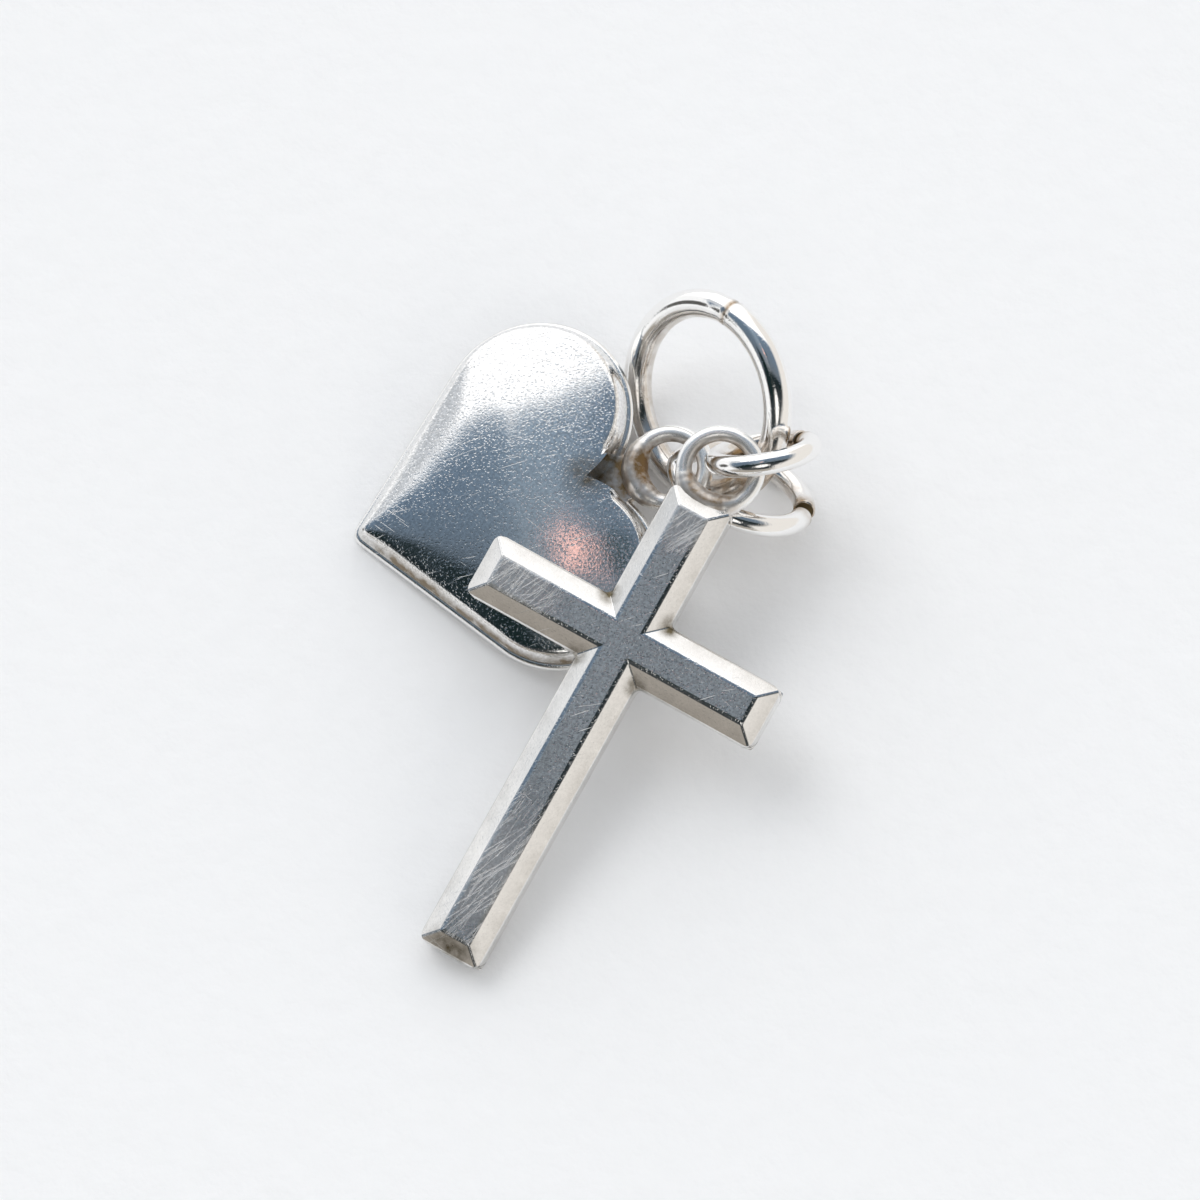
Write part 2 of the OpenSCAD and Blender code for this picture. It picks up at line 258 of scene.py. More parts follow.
ROOM_SPOTS = (DARK_SPOT, WARM_LAMP, SMALL_PANE, FRONT_LAMP, LEFT_DOOR, DARK_CORNER, DIM_PANE)

# Lamps that light the paper and don't show in the silver: strength, width in degrees, direction
WINDOW_LAMP = (0.6, 32, (-0.42, 0.4, 0.81))
FILL_LAMP = (1.17, 160, (0.1, 0.1, 1.0))


# Places of the bodies

def turned(lie):
    heading, pitch, roll = (math.radians(a) for a in lie)
    return (Matrix.Rotation(heading, 4, "Z") @ Matrix.Rotation(pitch, 4, "X")
            @ Matrix.Rotation(roll, 4, "Y"))


def placed(at, lie):
    return Matrix.Translation(at) @ turned(lie)


def on_ring(radius, degrees):
    a = math.radians(degrees)
    return Vector((radius * math.cos(a), radius * math.sin(a), 0.0))


BAIL_TURN = turned(BAIL_LIE)
BAIL_LEAN = math.hypot(BAIL_TURN[2][0], BAIL_TURN[2][1])
BAIL_MID = Vector((*BAIL_XY, BAIL_WIRE / 2 + BAIL_R * BAIL_LEAN))
CROSS_RING_MID = BAIL_MID + BAIL_TURN @ on_ring(BAIL_R, CROSS_HANG_AT) + Vector(CROSS_RING_PLAY)
HEART_RING_MID = BAIL_MID + BAIL_TURN @ on_ring(BAIL_R, HEART_HANG_AT) + Vector(HEART_RING_PLAY)
CROSS_RING_LOW = turned(CROSS_RING_LIE) @ Vector((0, -CROSS_RING_R, 0))
HEART_RING_LOW = turned(HEART_RING_LIE) @ Vector((0, -HEART_RING_R, 0))
CROSS_LOOP_MID = CROSS_RING_MID + CROSS_RING_LOW + Vector(CROSS_LOOP_PLAY)
HEART_LOOP_MID = HEART_RING_MID + HEART_RING_LOW + Vector(HEART_LOOP_PLAY)

BAIL_PLACE = placed(BAIL_MID, BAIL_LIE)
CROSS_RING_PLACE = placed(CROSS_RING_MID, CROSS_RING_LIE)
HEART_RING_PLACE = placed(HEART_RING_MID, HEART_RING_LIE)
CROSS_PLACE = placed(CROSS_LOOP_MID, CROSS_LIE)
HEART_PLACE = placed(HEART_LOOP_MID, HEART_LIE)


# Bench helpers

def clear_bench():
    if bpy.context.mode != "OBJECT":
        bpy.ops.object.mode_set(mode="OBJECT")
    bpy.ops.object.select_all(action="DESELECT")


def on_bench(name):
    piece = bpy.context.object
    piece.name = name
    bpy.ops.object.transform_apply(location=True, rotation=True, scale=True)
    return piece


def drop_selection(piece):
    bpy.ops.object.mode_set(mode="OBJECT")
    for part in (piece.data.vertices, piece.data.edges, piece.data.polygons):
        part.foreach_set("select", [False] * len(part))


def pick_points(piece, test):
    drop_selection(piece)
    for v in piece.data.vertices:
        v.select = test(v.co)
    bpy.context.tool_settings.mesh_select_mode = (True, False, False)
    bpy.ops.object.mode_set(mode="EDIT")


def pick_faces(piece, test):
    drop_selection(piece)
    for face in piece.data.polygons:
        face.select = test(face)
    bpy.context.tool_settings.mesh_select_mode = (False, False, True)
    bpy.ops.object.mode_set(mode="EDIT")


def off_edit():
    bpy.ops.object.mode_set(mode="OBJECT")


def apply_modifier(piece, kind, **values):
    mod = piece.modifiers.new(kind.title(), kind)
    for key, value in values.items():
        setattr(mod, key, value)
    bpy.context.view_layer.objects.active = piece
    bpy.ops.object.modifier_apply(modifier=mod.name)


def outward(piece):
    pick_faces(piece, lambda face: True)
    bpy.ops.mesh.normals_make_consistent(inside=False)
    off_edit()


def smooth(piece, degrees):
    clear_bench()
    piece.select_set(True)
    bpy.context.view_layer.objects.active = piece
    bpy.ops.object.shade_smooth_by_angle(angle=math.radians(degrees))


def soft_step(low, high, value):
    """0 up to the first bound, 1 from the second, and a smooth rise between."""
    t = min(max((value - low) / (high - low), 0.0), 1.0)
    return t * t * (3 - 2 * t)


def fade_out(low, high, value):
    """1 up to the first bound, 0 from the second, and a smooth fall between."""
    return 1 - soft_step(low, high, value)


def paint_tarnish_and_shade(piece, amount):
    """Store how brown each point is by its place on the piece in mm: tarnish, and on the heart's dome also
    painted shade.
    """
    layer = piece.data.attributes.new("tarnish_and_shade", "FLOAT", "POINT")
    layer.data.foreach_set("value", [amount(v.co) for v in piece.data.vertices])


def set_down(piece, place, body, node, slot, *materials):
    """Move the finished mesh from the bench to its place and give it to its body."""
    piece.data.transform(Matrix.Scale(MM, 4) @ place)
    piece.data.materials.clear()
    for material in materials:
        piece.data.materials.append(material)
    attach(piece, body)
    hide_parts(node)


# Shader building

def new_group(name, inputs, outputs):
    group = bpy.data.node_groups.new(name, "ShaderNodeTree")
    for label, kind, value in inputs:
        socket = group.interface.new_socket(label, in_out="INPUT", socket_type=kind)
        if value is not None:
            socket.default_value = value
    for label, kind in outputs:
        group.interface.new_socket(label, in_out="OUTPUT", socket_type=kind)
    return group, group.nodes.new("NodeGroupInput"), group.nodes.new("NodeGroupOutput")


def new_material(name):
    material = bpy.data.materials.new(name)
    material.use_nodes = True
    tree = material.node_tree
    return material, tree, tree.nodes["Principled BSDF"]


def add_node(tree, kind, **values):
    node = tree.nodes.new(kind)
    for key, value in values.items():
        setattr(node, key, value)
    return node


def feed(tree, socket, value):
    if isinstance(value, bpy.types.NodeSocket):
        tree.links.new(value, socket)
    else:
        socket.default_value = value


def math_node(tree, operation, *values, clamp=False):
    node = add_node(tree, "ShaderNodeMath", operation=operation, use_clamp=clamp)
    for socket, value in zip(node.inputs, values):
        feed(tree, socket, value)
    return node.outputs[0]


def times(tree, first, second):
    return math_node(tree, "MULTIPLY", first, second)


def vector_node(tree, operation, *values):
    node = add_node(tree, "ShaderNodeVectorMath", operation=operation)
    for socket, value in zip(node.inputs, values):
        feed(tree, socket, value)
    return node.outputs["Value" if operation in ("DOT_PRODUCT", "DISTANCE") else "Vector"]


def noise_node(tree, vector, scale, detail=2.0, rough=0.5):
    node = add_node(tree, "ShaderNodeTexNoise")
    feed(tree, node.inputs["Vector"], vector)
    feed(tree, node.inputs["Scale"], scale)
    node.inputs["Detail"].default_value = detail
    node.inputs["Roughness"].default_value = rough
    return node.outputs["Fac"]


def range_node(tree, value, low, high, to_low=0.0, to_high=1.0):
    node = add_node(tree, "ShaderNodeMapRange", interpolation_type="SMOOTHSTEP")
    for socket, item in zip(node.inputs, (value, low, high, to_low, to_high)):
        feed(tree, socket, item)
    return node.outputs[0]


def below_node(tree, value, span):
    """Mask that is 1 below a span and fades to 0 over it."""
    return range_node(tree, value, *span, 1.0, 0.0)


def mix_node(tree, share, first, second, blend="MIX"):
    node = add_node(tree, "ShaderNodeMix", data_type="RGBA", blend_type=blend)
    feed(tree, node.inputs["Factor"], share)
    feed(tree, node.inputs[6], first)
    feed(tree, node.inputs[7], second)
    return node.outputs[2]


def scratch_group():
    """Short straight scratches that run one way: a mask from a stretched noise."""
    group, into, out = new_group(
        "Straight scratches",
        [("Place", "NodeSocketVector", None), ("Turn", "NodeSocketFloat", 0.0),
         ("Width", "NodeSocketFloat", 0.03), ("Length", "NodeSocketFloat", 1.0),
         ("Rarity", "NodeSocketFloat", 0.66)],
        [("Mask", "NodeSocketFloat")])
    spin = add_node(group, "ShaderNodeVectorRotate", rotation_type="Z_AXIS")
    feed(group, spin.inputs["Vector"], into.outputs["Place"])
    feed(group, spin.inputs["Angle"], into.outputs["Turn"])
    size = add_node(group, "ShaderNodeCombineXYZ")
    feed(group, size.inputs[0], math_node(group, "DIVIDE", 1.0, into.outputs["Length"]))
    feed(group, size.inputs[1], math_node(group, "DIVIDE", 1.0, into.outputs["Width"]))
    feed(group, size.inputs[2], math_node(group, "DIVIDE", SCRATCH_DEPTHWAYS, into.outputs["Length"]))
    stretched = vector_node(group, "MULTIPLY", spin.outputs[0], size.outputs[0])
    grain = noise_node(group, stretched, SCRATCH_SCALE, 0.0)
    high = math_node(group, "ADD", into.outputs["Rarity"], SCRATCH_EDGE)
    feed(group, out.inputs["Mask"], range_node(group, grain, into.outputs["Rarity"], high))
    return group


def wear_group(scratches):
    """Worn polish: scratches, pits, a fine rub and slow waves, as masks and a height."""
    group, into, out = new_group(
        "Worn polish",
        [("Place", "NodeSocketVector", None), ("Scratches", "NodeSocketFloat", 1.0),
         ("Rub", "NodeSocketFloat", 1.0)],
        [("Mask", "NodeSocketFloat"), ("Height", "NodeSocketFloat"), ("Mottle", "NodeSocketFloat"),
         ("Grain", "NodeSocketFloat"), ("Dense", "NodeSocketFloat")])
    place = into.outputs["Place"]

    def scratch_lines(kinds):
        lines = None
        for turn, width, length, rarity in kinds:
            one = add_node(group, "ShaderNodeGroup", node_tree=scratches)
            feed(group, one.inputs["Place"], place)
            one.inputs["Turn"].default_value = turn
            one.inputs["Width"].default_value = width
            one.inputs["Length"].default_value = length
            one.inputs["Rarity"].default_value = rarity
            lines = one.outputs[0] if lines is None else math_node(group, "MAXIMUM", lines, one.outputs[0])
        return lines

    lines = scratch_lines(SPARSE_SCRATCHES)
    feed(group, out.inputs["Dense"], scratch_lines(DENSE_SCRATCHES))
    patches = range_node(group, noise_node(group, place, *PATCH_NOISE), *PATCH_RANGE, PATCH_LEAST, 1.0)
    lines = times(group, times(group, lines, patches), into.outputs["Scratches"])
    rub = times(group, noise_node(group, place, *RUB_NOISE), into.outputs["Rub"])
    pits = range_node(group, noise_node(group, place, *PIT_NOISE), *PIT_RANGE)
    pits = times(group, pits, into.outputs["Scratches"])
    mask = math_node(group, "MULTIPLY_ADD", pits, PIT_SHOWS, lines, clamp=True)
    waves = times(group, noise_node(group, place, *WAVE_NOISE), WAVE_HEIGHT)
    height = math_node(group, "MULTIPLY_ADD", rub, RUB_HEIGHT, waves)
    height = math_node(group, "MULTIPLY_ADD", lines, -SCRATCH_DEPTH, height)
    height = math_node(group, "MULTIPLY_ADD", pits, -PIT_DEPTH, height)
    grain = range_node(group, noise_node(group, place, *GRAIN_NOISE), *GRAIN_RANGE)
    feed(group, out.inputs["Mask"], mask)
    feed(group, out.inputs["Height"], height)
    feed(group, out.inputs["Mottle"], noise_node(group, place, *MOTTLE_NOISE))
    feed(group, out.inputs["Grain"], grain)
    return group


def near_spots(tree, place, spots):
    """Mask that is 1 near any of the places in mm and fades out round them."""
    mask = None
    for centre, inner, outer in spots:
        away = vector_node(tree, "DISTANCE", place, tuple(centre))
        one = below_node(tree, away, (inner, outer))
        mask = one if mask is None else math_node(tree, "MAXIMUM", mask, one)
    return mask


def silver(name, wear, colour, stain, roughness, scratches, rub,
           grain=0.0, scuffs=(), browned=(), metallic=1.0):
    """Polished silver that browns where the piece is painted with tarnish and painted shade, and is hazy
    where it is scuffed.
    """
    material, tree, shader = new_material(name)
    shader.inputs["Metallic"].default_value = metallic
    coords = add_node(tree, "ShaderNodeTexCoord")
    place = vector_node(tree, "SCALE", coords.outputs["Object"])
    place.node.inputs["Scale"].default_value = 1 / MM
    worn = add_node(tree, "ShaderNodeGroup", node_tree=wear)
    feed(tree, worn.inputs["Place"], place)
    worn.inputs["Scratches"].default_value = scratches
    worn.inputs["Rub"].default_value = rub
    mottle = worn.outputs["Mottle"]
    mask = worn.outputs["Mask"]
    height = worn.outputs["Height"]

    # Brown from the painted attribute and the spots: mostly tarnish, but painted shade on the dome's seat
    # and a painted dark reflection on the cross's foot
    tarnish_and_shade = add_node(tree, "ShaderNodeAttribute", attribute_name="tarnish_and_shade").outputs["Fac"]
    if browned:
        tarnish_and_shade = math_node(tree, "MAXIMUM", tarnish_and_shade, near_spots(tree, place, browned))
    uneven = math_node(tree, "MULTIPLY_ADD", mottle, TARNISH_CONTRAST, TARNISH_SHIFT)
    brown = math_node(tree, "MULTIPLY", tarnish_and_shade, uneven, clamp=True)

    rough = math_node(tree, "MULTIPLY_ADD", mottle, MOTTLE_ROUGH, roughness - MOTTLE_ROUGH / 2)
    if scuffs:
        scuffed = near_spots(tree, place, scuffs)
        dense = times(tree, scuffed, worn.outputs["Dense"])
        mask = math_node(tree, "MAXIMUM", mask, times(tree, dense, scratches))
        rough = math_node(tree, "MULTIPLY_ADD", scuffed, SCUFF_ROUGH, rough)
        height = math_node(tree, "MULTIPLY_ADD", dense, -SCUFF_DEPTH, height)
    rough = math_node(tree, "MULTIPLY_ADD", mask, SCRATCH_ROUGH, rough)
    rough = math_node(tree, "MULTIPLY_ADD", brown, BROWN_ROUGH, rough)
    feed(tree, shader.inputs["Roughness"], rough)

    dull = tuple(c * (1 - grain) for c in colour)
    grained = mix_node(tree, worn.outputs["Grain"], (*dull, 1), (*colour, 1))
    clean = mix_node(tree, times(tree, mask, SCRATCH_PALE), grained, WHITE)
    feed(tree, shader.inputs["Base Color"], mix_node(tree, brown, clean, (*stain, 1)))

    bump = add_node(tree, "ShaderNodeBump")
    bump.inputs["Strength"].default_value = 1.0
    bump.inputs["Distance"].default_value = MM
    feed(tree, bump.inputs["Height"], height)
    feed(tree, shader.inputs["Normal"], bump.outputs[0])
    return material


def sawn_end():
    """Sawn wire end, dark brown with oxide."""
    material, tree, shader = new_material("sawn wire end")
    shader.inputs["Metallic"].default_value = SAWN_METALLIC
    coords = add_node(tree, "ShaderNodeTexCoord")
    grain = noise_node(tree, coords.outputs["Object"], *SAWN_NOISE)
    feed(tree, shader.inputs["Base Color"], mix_node(tree, grain, SAWN_DARK, SAWN_BROWN))
    rough = math_node(tree, "MULTIPLY_ADD", grain, SAWN_ROUGH_VARIES, SAWN_ROUGH_LEAST)
    feed(tree, shader.inputs["Roughness"], rough)
    return material


# Pieces

def make_ring(name, radius, wire, around, sides):
    clear_bench()
    bpy.ops.mesh.primitive_torus_add(major_radius=radius, minor_radius=wire / 2,
                                     major_segments=around, minor_segments=sides)
    return on_bench(name)


def round_angle(co, centre):
    """Degrees from a direction round the ring, from -180 to 180."""
    return (math.degrees(math.atan2(co.y, co.x)) - centre + 180) % 360 - 180


def swell(piece, centre, spread, amount, steps=16):
    """Fatten or thin the wire round one place in small steps, as a solder joint or a filed seam does."""
    for step in range(1, steps + 1):
        reach = spread * math.sqrt(step / steps)
        pick_points(piece, lambda co: abs(round_angle(co, centre)) < reach)
        bpy.ops.transform.shrink_fatten(value=amount / steps)
    off_edit()


def inner_side(co, radius, wire):
    """Share from 0 on the crown of the wire to 1 on the inside of the ring."""
    return max(0.0, (radius - math.hypot(co.x, co.y)) / (wire / 2))


def make_bail(metal):
    bail = make_ring("bail_ring_wire", BAIL_R, BAIL_WIRE, BAIL_AROUND, BAIL_SIDES)
    step = 360 / BAIL_AROUND
    seam = round(BAIL_SEAM_AT / step) * step
    swell(bail, seam + FILED_PAST_SEAM, FILED_SPREAD, -FILED_DEPTH)
    pick_points(bail, lambda co: abs(round_angle(co, seam)) < SEAM_SHARE * step)
    bpy.ops.transform.shrink_fatten(value=-SEAM_GROOVE)
    off_edit()
    smooth(bail, degrees=60)

    def brown(co):
        from_seam = abs(round_angle(co, seam)) / step
        at_seam = SEAM_BROWN * fade_out(*SEAM_FADE, from_seam)
        at_links = LINK_BROWN * fade_out(*LINK_FADE, abs(round_angle(co, BAIL_LINKS_AT)))
        inside = BAIL_INSIDE_BROWN * inner_side(co, BAIL_R, BAIL_WIRE)
        return min(1.0, max(at_seam, inside + at_links))
    paint_tarnish_and_shade(bail, brown)
    set_down(bail, BAIL_PLACE, "bail_ring", "bail_ring", "silver", metal)


def make_jump_ring(name, radius, wire, gap, cut_at, place, body, metal, sawn):
    segments = round(360 * STEPS_IN_GAP / gap)
    half_gap = 360 / segments * STEPS_IN_GAP / 2
    ring = make_ring(name, radius, wire, segments, RING_SIDES)
    ring.data.transform(Matrix.Rotation(math.radians(cut_at), 4, "Z"))
    pick_faces(ring, lambda face: abs(round_angle(face.center, cut_at)) < half_gap)
    bpy.ops.mesh.delete(type="FACE")
    pick_points(ring, lambda co: True)
    bpy.ops.mesh.fill_holes(sides=0)
    pick_faces(ring, lambda face: len(face.vertices) > OTHER_FACE_CORNERS)
    bpy.ops.mesh.bevel(offset=CUT_ROUND, segments=CUT_ROUND_STEPS, affect="EDGES")
    outward(ring)
    smooth(ring, degrees=40)

    def brown(co):
        at_cut = fade_out(gap / 2, gap / 2 + CUT_FADE, abs(round_angle(co, cut_at)))
        inside = inner_side(co, radius, wire) * (RING_INSIDE_BROWN + CUT_INSIDE_BROWN * at_cut)
        return min(RING_BROWNEST, CUT_BROWN * at_cut + inside)
    paint_tarnish_and_shade(ring, brown)
    set_down(ring, place, body, body, "dulled_silver", metal, sawn)
    for face in ring.data.polygons:
        if len(face.vertices) > OTHER_FACE_CORNERS:
            face.material_index = 1


def make_loop(name, radius, wire, place, body, node, metal):
    loop = make_ring(name, radius, wire, LOOP_AROUND, LOOP_SIDES)
    swell(loop, LOOP_ROOT_AT, SOLDER_SPREAD, SOLDER_SWELL)
    smooth(loop, degrees=60)

    def brown(co):
        at_root = fade_out(*ROOT_FADE, abs(round_angle(co, LOOP_ROOT_AT)))
        return min(1.0, ROOT_BROWN * at_root + LOOP_INSIDE_BROWN * inner_side(co, radius, wire))
    paint_tarnish_and_shade(loop, brown)
    set_down(loop, place, body, node, "dulled_silver", metal)


def stretch_limb(cross, direction, length):
    """Draw one limb out of the middle block of the cross."""
    middle = Vector((0, ARM_Y, 0))

    def faces_out(face):
        off_axis = (face.center - middle).cross(direction)
        return face.normal.dot(direction) > LOOKS_THAT_WAY and off_axis.length < LIMB_W / 2
    pick_faces(cross, faces_out)
    bpy.ops.mesh.extrude_region_move(TRANSFORM_OT_translate={"value": direction * length})


def edge_wear(a, b):
    """Rounding of the edge between two points of the cross."""
    low, high = min(a.z, b.z), max(a.z, b.z)
    inner = math.hypot(a.x, a.y - ARM_Y) < LIMB_W
    if low > FACE_Z - HAIR:
        return FACE_WEAR
    if high > FACE_Z - HAIR:
        return INNER_MITRE_WEAR if inner else OUTER_MITRE_WEAR
    if high < BACK_Z + HAIR:
        return BACK_WEAR
    if low > BEVEL_Z - HAIR:
        return BEVEL_FOOT_WEAR
    return INNER_CORNER_WEAR if inner else OUTER_CORNER_WEAR


def soften_cross(cross):
    """Round each kind of edge by its own wear. The weights are the roundings in mm."""
    off_edit()
    weights = cross.data.attributes.new("bevel_weight_edge", "FLOAT", "EDGE")
    points = cross.data.vertices
    for edge in cross.data.edges:
        a, b = (points[i].co for i in edge.vertices)
        weights.data[edge.index].value = edge_wear(a, b)
    apply_modifier(cross, "BEVEL", limit_method="WEIGHT", width=1.0, segments=WEAR_STEPS, profile=0.5)


def make_cross(metal, bevel_metal):
    clear_bench()
    wall = BEVEL_Z - BACK_Z
    bpy.ops.mesh.primitive_cube_add(size=1, location=(0, ARM_Y, BACK_Z + wall / 2),
                                    scale=(LIMB_W, LIMB_W, wall))
    cross = on_bench("struck_cross")
    arm = (CROSS_SPAN - LIMB_W) / 2
    stretch_limb(cross, Vector((1, 0, 0)), arm)
    stretch_limb(cross, Vector((-1, 0, 0)), arm)
    stretch_limb(cross, Vector((0, 1, 0)), ARM_DROP - LIMB_W / 2)
    stretch_limb(cross, Vector((0, -1, 0)), CROSS_H - ARM_DROP - LIMB_W / 2)
    pick_faces(cross, lambda face: face.normal.z > LOOKS_THAT_WAY)
    bpy.ops.mesh.inset(thickness=LAND_W + BEVEL_W, depth=BEVEL_D)
    bpy.ops.mesh.dissolve_limited(angle_limit=math.radians(1))
    soften_cross(cross)
    smooth(cross, degrees=35)
    apply_modifier(cross, "WEIGHTED_NORMAL", keep_sharp=True)

    paint_tarnish_and_shade(cross, lambda co: CROSS_LOW_BROWN * fade_out(BEVEL_Z, FACE_Z, co.z))
    sloping = [abs(face.normal.z) < LOOKS_THAT_WAY for face in cross.data.polygons]
    set_down(cross, CROSS_PLACE, "cross", "cross_body", "silver", metal, bevel_metal)
    cross.data.polygons.foreach_set("material_index", sloping)


def flank_turn(along, grow):
    """Direction from the middle of the heart to a place along its flank."""
    x = along * math.sin(FLANK) + grow * math.cos(FLANK)
    y = along * math.cos(FLANK) - grow * math.sin(FLANK)
    return math.atan2(y - DOME_MID, x)


def outline_reach(turn, grow):
    """Distance from the middle of the heart to its outline, grown by a rim, in one direction."""
    c, s = abs(math.cos(turn)), math.sin(turn)
    side = math.atan2(s, c)
    if side < flank_turn(TIP_ALONG, grow):
        off = DOME_MID - TIP_Y
        return math.sqrt((TIP_R + grow) ** 2 - (c * off) ** 2) - s * off
    if side < flank_turn(TOUCH_ALONG, grow):
        return (DOME_MID * math.sin(FLANK) + grow) / (c * math.cos(FLANK) - s * math.sin(FLANK))
    b = s * (DOME_MID - LOBE_Y) - c * LOBE_X
    return math.sqrt(b * b - LOBE_X ** 2 - (DOME_MID - LOBE_Y) ** 2 + (LOBE_R + grow) ** 2) - b


def from_edge(x, y):
    """Distance of a point of the heart from its outline."""
    along = abs(x) * math.sin(FLANK) + y * math.cos(FLANK)
    if along < TIP_ALONG:
        return TIP_R - math.hypot(x, y - TIP_Y)
    if along < TOUCH_ALONG:
        return y * math.sin(FLANK) - abs(x) * math.cos(FLANK)
    return LOBE_R - math.hypot(abs(x) - LOBE_X, y - LOBE_Y)


def half_width(y):
    if y < TOUCH_Y:
        return y * math.tan(FLANK)
    return LOBE_X + math.sqrt(LOBE_R ** 2 - max(LOBE_Y - y, 0.0) ** 2)


def puff(x, y):
    """Share of the dome's height: falls to the sides, the point and the lobes, then a rolled edge."""
    to_tip = max(DOME_MID - y, 0.0) / DOME_MID
    to_lobe = max(y - DOME_MID, 0.0) / (LOBE_Y + LOBE_R - DOME_MID)
    along = 1 - TIP_FALL * to_tip ** TIP_FALL_POWER - LOBE_FALL * to_lobe ** 2
    across = 1 - SIDE_FALL * (x / half_width(y)) ** 2
    rolled = 1 - max(1 - from_edge(x, y) / EDGE_W, 0.0) ** 2
    return along * across * math.sqrt(max(rolled, 0.0))


def dome_point(co):
    """Carry a point of a unit half ball onto the puffed heart."""
    share = min(math.hypot(co.x, co.y), 1.0)
    turn = math.atan2(co.y, co.x)
    spread = share ** DOME_SPREAD_POWER
    reach = share * (DOME_ROUND + spread * (outline_reach(turn, 0.0) - DOME_ROUND))
    x, y = reach * math.cos(turn), DOME_MID + reach * math.sin(turn)
    return Vector((x, y, DOME_H * puff(x, y) if share < DOME_RIM_SHARE else 0.0))


def make_dome(metal):
    clear_bench()
    bpy.ops.mesh.primitive_uv_sphere_add(segments=DOME_AROUND, ring_count=DOME_RINGS, radius=1)
    dome = on_bench("heart_dome")
    pick_faces(dome, lambda face: True)
    bpy.ops.mesh.bisect(plane_co=(0, 0, 0), plane_no=(0, 0, 1), clear_inner=True, use_fill=True)
    off_edit()
    for v in dome.data.vertices:
        v.co = dome_point(v.co)
    dome.data.transform(Matrix.Translation((0, -TIP_TO_LOOP, PLATE_TOP)))
    outward(dome)
    smooth(dome, degrees=50)

    # Brown tarnish in the cleft, and painted shade (dark reflection and contact shadow) low on the rim of
    # one side
    def brown(co):
        y = co.y + TIP_TO_LOOP
        low = fade_out(*SEAT_HEIGHT_FADE, co.z - PLATE_TOP)
        near_edge = fade_out(*SEAT_EDGE_FADE, from_edge(co.x, y))
        painted_seat_shade = DOME_SEAT_SHADE * low * near_edge * soft_step(*SEAT_LOW_SIDE, co.x)
        cleft = DOME_CLEFT_BROWN * fade_out(*DOME_CLEFT_FADE, math.hypot(co.x, y - CLEFT_Y))
        return max(cleft, painted_seat_shade)
    paint_tarnish_and_shade(dome, brown)
    set_down(dome, HEART_PLACE, "heart", "heart_front", "silver", metal)


def plate_reach(turn, inset):
    """Outline of the back plate with its tab, from the middle of the heart, drawn in by a little."""
    reach = outline_reach(turn, FLANGE - inset)
    c, s = math.cos(turn), math.sin(turn)
    if s > TAB_SIDE:
        top = TIP_TO_LOOP - HEART_LOOP_R - DOME_MID
        low = CLEFT_Y - TAB_ROOT - DOME_MID
        slope = (TAB_LOW_W - TAB_TOP_W) / 2 / (top - low)
        side = (TAB_LOW_W / 2 - inset + slope * low) / (abs(c) + slope * s)
        reach = max(reach, min((top - inset) / s, side))
    return reach


def plate_point(co):
    """Carry a point of a stack of unit discs onto the rim of the plate."""
    turn = math.atan2(co.y, co.x)
    inset, height = PLATE_RIM[round(co.z)]
    reach = plate_reach(turn, inset)
    y = DOME_MID + reach * math.sin(turn) - TIP_TO_LOOP
    return Vector((reach * math.cos(turn), y, PLATE_LOW + height * PLATE_T))


def make_plate(metal):
    clear_bench()
    bpy.ops.mesh.primitive_circle_add(vertices=PLATE_AROUND, radius=1, fill_type="NGON")
    plate = on_bench("heart_plate")
    pick_faces(plate, lambda face: True)
    for _ in PLATE_RIM[1:]:
        bpy.ops.mesh.extrude_region_move(TRANSFORM_OT_translate={"value": (0, 0, 1)})
    off_edit()
    for v in plate.data.vertices:
        v.co = plate_point(v.co)
    outward(plate)
    smooth(plate, degrees=50)

    def brown(co):
        away = math.hypot(co.x, co.y + TIP_TO_LOOP - CLEFT_Y - PLATE_CLEFT_RISE)
        return PLATE_CLEFT_BROWN * fade_out(*PLATE_CLEFT_FADE, away)
    paint_tarnish_and_shade(plate, brown)
    set_down(plate, HEART_PLACE, "heart", "heart_back", "silver", metal)


# Stage

def place_camera():
    rise = math.radians(CAMERA_RISE)
    data = bpy.data.cameras.new("camera")
    data.lens = CAMERA_LENS
    data.clip_start = CAMERA_NEAR
    camera = bpy.data.objects.new("camera", data)
    camera.location = PHOTO_MID + CAMERA_AWAY * Vector((0, -math.cos(rise), math.sin(rise)))
    camera.rotation_euler = (math.radians(90 - CAMERA_RISE), 0, 0)
    bpy.context.scene.collection.objects.link(camera)
    bpy.context.scene.camera = camera


def lay_paper():
    clear_bench()
    bpy.ops.mesh.primitive_circle_add(vertices=PAPER_AROUND, radius=PAPER_R, fill_type="NGON")
    paper = on_bench("paper")
    material, tree, shader = new_material("white paper")
    shader.inputs["Roughness"].default_value = PAPER_ROUGH
    shader.inputs["Specular IOR Level"].default_value = PAPER_SHEEN
    coords = add_node(tree, "ShaderNodeTexCoord")
    fibre = noise_node(tree, coords.outputs["Object"], *FIBRE_NOISE)
    feed(tree, shader.inputs["Base Color"], mix_node(tree, fibre, PAPER_GREY, PAPER_WHITE))
    bump = add_node(tree, "ShaderNodeBump")
    bump.inputs["Strength"].default_value = FIBRE_STRENGTH
    bump.inputs["Distance"].default_value = FIBRE_HEIGHT
    feed(tree, bump.inputs["Height"], fibre)
    feed(tree, shader.inputs["Normal"], bump.outputs[0])
    paper.data.materials.append(material)


def cone(tree, direction, towards, inner, outer):
    """Mask that is 1 within an angle of a direction and fades to 0 at a wider one."""
    near = vector_node(tree, "DOT_PRODUCT", tuple(Vector(direction).normalized()), towards)
    return range_node(tree, near, math.cos(math.radians(outer)), math.cos(math.radians(inner)))


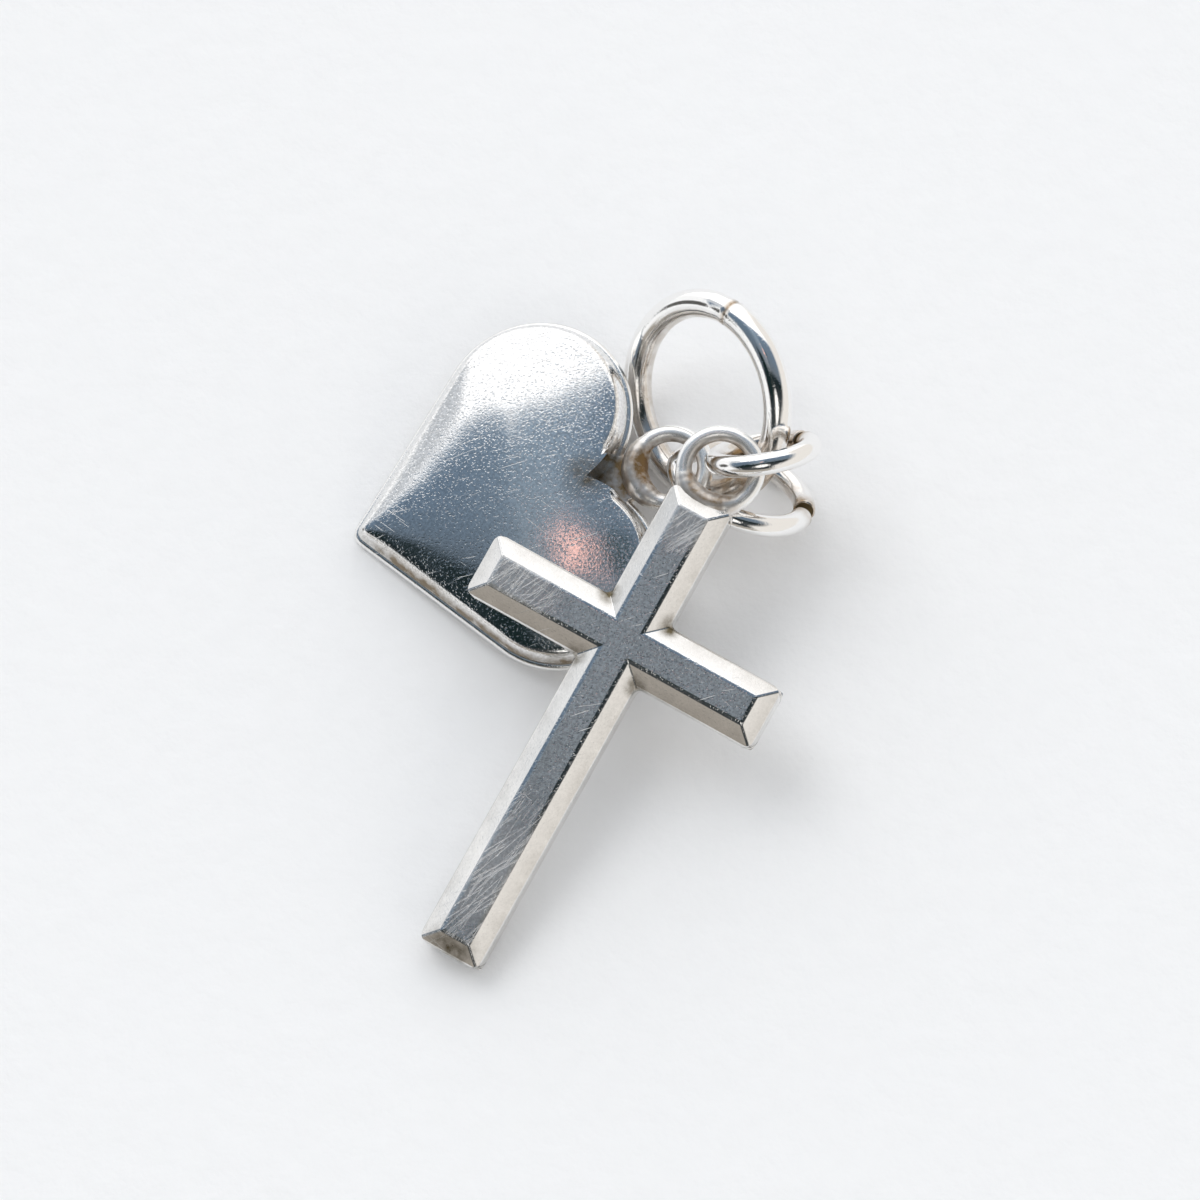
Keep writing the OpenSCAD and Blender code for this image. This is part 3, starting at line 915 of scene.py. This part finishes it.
def add_lamp(name, energy, spread, towards):
    light = bpy.data.lights.new(name, "SUN")
    light.energy = energy
    light.angle = math.radians(spread)
    lamp = bpy.data.objects.new(name, light)
    lamp.rotation_euler = Vector(towards).to_track_quat("Z", "Y").to_euler()
    lamp.visible_glossy = False
    bpy.context.scene.collection.objects.link(lamp)


def room_tones(tree, towards):
    """Ramp from the dim room behind the viewer to the white window. It turns -1 to 1 into 0 to 1."""
    tones = add_node(tree, "ShaderNodeValToRGB")
    across = vector_node(tree, "DOT_PRODUCT", towards, WINDOW_SIDE)
    feed(tree, tones.inputs[0], math_node(tree, "MULTIPLY_ADD", across, 0.5, 0.5))
    stops = tones.color_ramp.elements
    while len(stops) < len(ROOM_TONES):
        stops.new(0.5)
    for stop, (place, colour) in zip(stops, ROOM_TONES):
        stop.position = 0.5 + 0.5 * place
        stop.color = colour
    return tones.outputs[0]


def light_room():
    """A white window side, a dim room towards the viewer, pale walls, and a few lamps and dark spots."""
    world = bpy.data.worlds.new("room")
    bpy.context.scene.world = world
    world.use_nodes = True
    tree = world.node_tree
    towards = add_node(tree, "ShaderNodeTexCoord").outputs["Generated"]
    axes = add_node(tree, "ShaderNodeSeparateXYZ")
    feed(tree, axes.inputs[0], towards)
    x, y, z = axes.outputs

    dim_left = times(tree, below_node(tree, x, DIM_LEFT_X), below_node(tree, y, DIM_LEFT_Y))
    dim_right = range_node(tree, x, *DIM_RIGHT_X, 0.0, DIM_RIGHT_MOST)
    dim_right = times(tree, dim_right, below_node(tree, y, DIM_RIGHT_Y))
    dim = math_node(tree, "MAXIMUM", dim_left, dim_right)
    left = times(tree, below_node(tree, x, LEFT_X), below_node(tree, z, LEFT_Z))
    front = times(tree, below_node(tree, y, FRONT_Y), below_node(tree, z, FRONT_Z))
    right = times(tree, range_node(tree, x, *RIGHT_X), below_node(tree, z, RIGHT_Z))

    room = mix_node(tree, dim, room_tones(tree, towards), DIM_SIDES, "MULTIPLY")
    room = mix_node(tree, left, room, LEFT_WALL)
    room = mix_node(tree, front, room, FRONT_LOW)
    room = mix_node(tree, right, room, RIGHT_WALL)
    for colour, direction, inner, outer in ROOM_SPOTS:
        room = mix_node(tree, cone(tree, direction, towards, inner, outer), room, colour)
    path = add_node(tree, "ShaderNodeLightPath")
    seen = mix_node(tree, path.outputs["Is Camera Ray"], room, BACKDROP)
    feed(tree, tree.nodes["Background"].inputs["Color"], seen)
    add_lamp("window", *WINDOW_LAMP)
    add_lamp("fill", *FILL_LAMP)


def build():
    bpy.context.scene.view_settings.view_transform = "Standard"
    place_camera()
    wear = wear_group(scratch_group())
    charm = silver(
        "worn charm silver", wear, colour=(0.97, 0.965, 0.955), stain=(0.24, 0.19, 0.13),
        roughness=0.085, scratches=1.0, rub=1.0, grain=0.2,
        scuffs=[(CROSS_PLACE @ Vector(at), SCUFF_CORE, reach) for at, reach in SCUFFED])
    bevel = silver(
        "struck bevel silver", wear, colour=(0.9, 0.888, 0.87), stain=(0.14, 0.115, 0.07),
        roughness=0.1, scratches=0.25, rub=0.35, grain=0.04,
        browned=[(CROSS_PLACE @ Vector(at), BROWN_CORE, reach) for at, reach in BROWNED])
    wire = silver(
        "ring wire silver", wear, colour=(0.95, 0.94, 0.925), stain=(0.3, 0.19, 0.08),
        roughness=0.08, scratches=0.35, rub=0.4)
    plate = silver(
        "heart plate silver", wear, colour=(0.94, 0.93, 0.91), stain=(0.3, 0.2, 0.1),
        roughness=0.2, scratches=0.7, rub=1.0,
        browned=[(HEART_PLACE @ Vector(TAB_BROWNED), TAB_BROWN_CORE, TAB_BROWN_REACH)])
    loop = silver(
        "soldered loop silver", wear, colour=(0.96, 0.955, 0.94), stain=(0.26, 0.16, 0.07),
        roughness=0.24, scratches=0.3, rub=0.6, metallic=0.78)
    sawn = sawn_end()

    make_bail(wire)
    make_jump_ring("cross_ring_wire", CROSS_RING_R, CROSS_RING_WIRE, CROSS_RING_GAP, CROSS_CUT_AT,
                   CROSS_RING_PLACE, "cross_jump_ring", wire, sawn)
    make_jump_ring("heart_ring_wire", HEART_RING_R, HEART_RING_WIRE, HEART_RING_GAP, HEART_CUT_AT,
                   HEART_RING_PLACE, "heart_jump_ring", wire, sawn)
    make_loop("cross_loop_wire", CROSS_LOOP_R, CROSS_LOOP_WIRE, CROSS_PLACE, "cross", "cross_loop", loop)
    make_loop("heart_loop_wire", HEART_LOOP_R, HEART_LOOP_WIRE, HEART_PLACE, "heart", "heart_loop", loop)
    make_cross(charm, bevel)
    make_dome(charm)
    make_plate(plate)
    lay_paper()
    light_room()


build()
bpy.context.view_layer.update()
